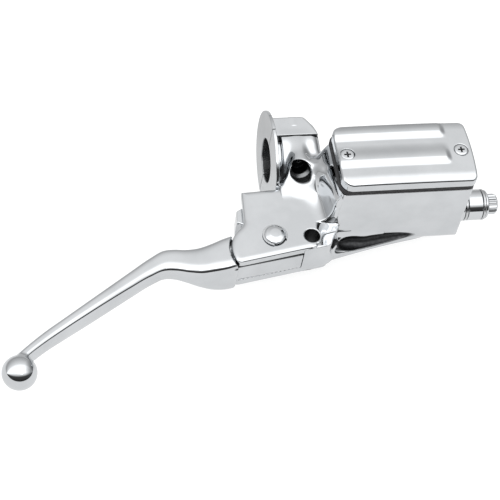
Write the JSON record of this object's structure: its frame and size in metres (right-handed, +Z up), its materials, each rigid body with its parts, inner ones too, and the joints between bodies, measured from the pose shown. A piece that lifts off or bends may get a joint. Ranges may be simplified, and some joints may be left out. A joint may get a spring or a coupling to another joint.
{
  "type": "brake master cylinder",
  "caption": "Chromed handlebar brake master cylinder: fluid reservoir with ribbed cover, bar clamp, and a ball-ended lever that pushes the piston through a short rod.",
  "frame": {"origin": "on the handlebar's axis, at the outboard face of the clamp flange", "axes": "+X runs inboard along the handlebar, +Y to the rear (towards the rider), +Z up"},
  "size_m": [0.2875, 0.1663, 0.0766],
  "materials": {
    "chrome": "polished chrome plate",
    "rubber": "black moulded rubber",
    "zinc_plate": "bright zinc plate on steel",
    "dark_steel": "phosphated spring steel",
    "bronze": "plain sintered bronze",
    "anodised": "hard anodised"
  },
  "bodies": {
    "housing": {"housing": "chrome", "clamp_cap": "chrome", "clamp_screw_upper": "chrome", "clamp_washer_upper": "chrome", "clamp_screw_lower": "chrome", "clamp_washer_lower": "chrome", "reservoir_cover": "chrome", "cover_gasket": "rubber", "cover_screw_outboard": "chrome", "cover_screw_inboard": "chrome", "pivot_pin": "chrome", "pivot_retaining_ring": "dark_steel", "piston_boot": "rubber", "piston_stop_ring": "dark_steel", "piston_stop_washer": "zinc_plate", "return_spring": "zinc_plate", "hose_washer_inner": "zinc_plate", "hose_spacer": "chrome", "hose_washer_outer": "zinc_plate", "hose_bolt": "chrome"},
    "lever": {"brake_lever": "chrome", "lever_bushing": "bronze"},
    "pushrod": {"reaction_pin": "zinc_plate", "pushrod": "zinc_plate"},
    "piston": {"piston": "anodised", "piston_seal": "rubber", "primary_cup": "rubber"}
  },
  "joints": [
    {"name": "lever_pivot", "type": "hinge", "parent": "housing", "child": "lever", "pos_m": [-0.0059, -0.0602, 0], "axis": [0, 0, -1], "range_deg": [0, 22], "stiffness_Nm_per_rad": 1, "springref_deg": -11.46},
    {"name": "pushrod_pivot", "type": "hinge", "parent": "lever", "child": "pushrod", "pos_m": [-0.01023, -0.03792, 0], "axis": [0, 0, -1], "range_deg": [-22, 0]},
    {"name": "piston_slide", "type": "slide", "parent": "housing", "child": "piston", "axis": [1, 0, 0], "range_m": [0, 0.0087], "deforming": ["return_spring"]}
  ],
  "couplings": [
    {"joint": "pushrod_pivot", "follows": "lever_pivot", "ratio": -1},
    {"joint": "piston_slide", "follows": "lever_pivot", "m_per_rad": 0.02256}
  ]
}
